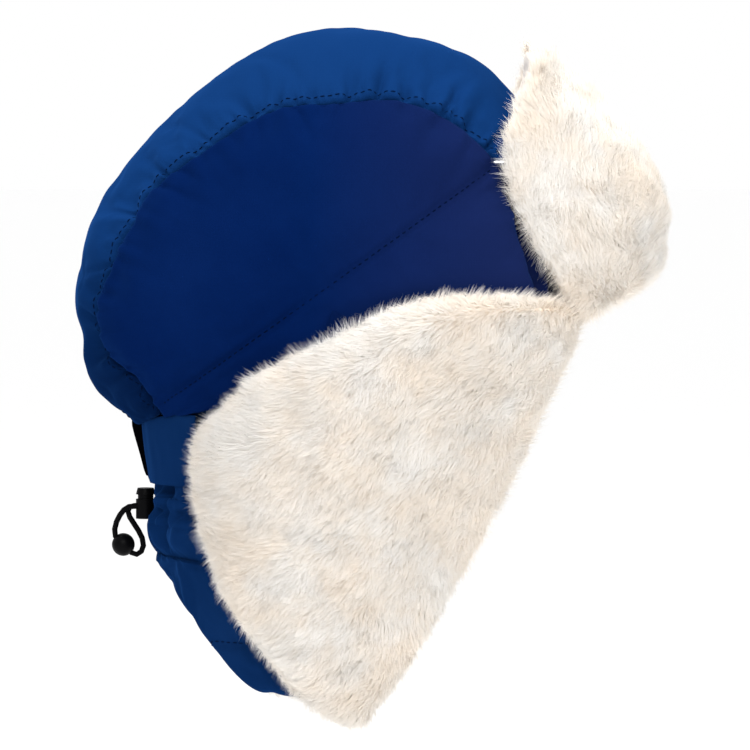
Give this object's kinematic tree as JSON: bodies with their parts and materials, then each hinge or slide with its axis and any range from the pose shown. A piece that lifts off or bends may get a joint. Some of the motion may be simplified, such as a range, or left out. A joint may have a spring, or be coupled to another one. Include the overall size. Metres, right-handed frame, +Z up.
{
  "type": "trapper hat",
  "caption": "Padded winter hat with a fold-up fur visor, fur-faced cheek lapels folded back and closed behind the head by tabs, and a drawcord at the nape.",
  "frame": {"origin": "middle of the head opening, where the head holds the hat", "axes": "+X to the wearer's front, +Y to the wearer's left, +Z up"},
  "size_m": [0.2854, 0.249, 0.3296],
  "materials": {
    "navy_shell": "satin woven shell, navy blue",
    "cream_fur": "faux fur, cream",
    "wadding": "matte polyester wadding",
    "quilted_lining": "short cream plush",
    "hook_tape": "black hook tape",
    "loop_tape": "dark loop tape",
    "black_plastic": "semi-matte moulded",
    "black_cord": "braided elastic",
    "clear_plastic": "clear moulded",
    "spring_steel": "bright"
  },
  "bodies": {
    "hat": {"crown_side_panel_right": "navy_shell", "crown_side_panel_left": "navy_shell", "crown_top_panel_right": "navy_shell", "crown_top_panel_left": "navy_shell", "crown_front_panel": "navy_shell", "crown_side_wadding_right": "wadding", "crown_side_wadding_left": "wadding", "crown_top_wadding": "wadding", "crown_side_lining_right": "quilted_lining", "crown_side_lining_left": "quilted_lining", "crown_top_lining": "quilted_lining", "neck_guard_panel": "navy_shell", "neck_guard_wadding": "wadding", "neck_guard_fur": "cream_fur", "cord_channel": "navy_shell", "cord_eyelet": "black_plastic", "drawcord": "black_cord", "cheek_panel_right": "navy_shell", "cheek_panel_left": "navy_shell", "cheek_fur_right": "cream_fur", "cheek_fur_left": "cream_fur", "ear_flap_right": "navy_shell", "ear_flap_left": "navy_shell", "ear_flap_fur_right": "cream_fur", "ear_flap_fur_left": "cream_fur", "visor_eye_right": "clear_plastic", "visor_eye_left": "clear_plastic", "cord_lock_body": "black_plastic", "cord_lock_spring": "spring_steel", "cord_loop": "black_cord", "cord_bead": "black_plastic"},
    "visor": {"visor_backing": "navy_shell", "visor_wadding": "wadding", "visor_fur": "cream_fur", "visor_hook_right": "clear_plastic", "visor_hook_left": "clear_plastic"},
    "lapel_right": {"lapel_shell_right": "navy_shell", "lapel_wadding_right": "wadding", "lapel_fur_right": "cream_fur"},
    "lapel_left": {"lapel_shell_left": "navy_shell", "lapel_wadding_left": "wadding", "lapel_fur_left": "cream_fur"},
    "tab_right": {"strap_right": "navy_shell", "loop_tape": "loop_tape"},
    "tab_left": {"strap_left": "navy_shell", "hook_tape": "hook_tape"},
    "lock_button": {"cord_lock_button": "black_plastic"}
  },
  "joints": [
    {"name": "visor_fold", "type": "hinge", "parent": "hat", "child": "visor", "pos_m": [0.128, 0, 0.046], "axis": [0, 1, 0], "range_deg": [0, 100]},
    {"name": "lapel_right_fold", "type": "hinge", "parent": "hat", "child": "lapel_right", "pos_m": [0.1135, -0.0663, 0.027], "axis": [0.4811, 0.0232, 0.8764], "range_deg": [0, 165]},
    {"name": "lapel_left_fold", "type": "hinge", "parent": "hat", "child": "lapel_left", "pos_m": [0.1135, 0.0663, 0.027], "axis": [-0.4811, 0.0232, -0.8764], "range_deg": [0, 165]},
    {"name": "tab_right_peel", "type": "hinge", "parent": "lapel_right", "child": "tab_right", "pos_m": [-0.0625, -0.069, -0.039], "axis": [0, 0, 1], "range_deg": [0, 55]},
    {"name": "tab_left_peel", "type": "hinge", "parent": "lapel_left", "child": "tab_left", "pos_m": [-0.0625, 0.069, -0.039], "axis": [0, 0, -1], "range_deg": [0, 16.5]},
    {"name": "lock_button_press", "type": "slide", "parent": "hat", "child": "lock_button", "axis": [0, 0, -1], "range_m": [0, 0.002], "stiffness_N_per_m": 600, "springref_m": -0.001, "deforming": ["cord_lock_spring"]}
  ],
  "couplings": [
    {"joint": "tab_left_peel", "follows": "tab_right_peel", "ratio": 0.3}
  ]
}
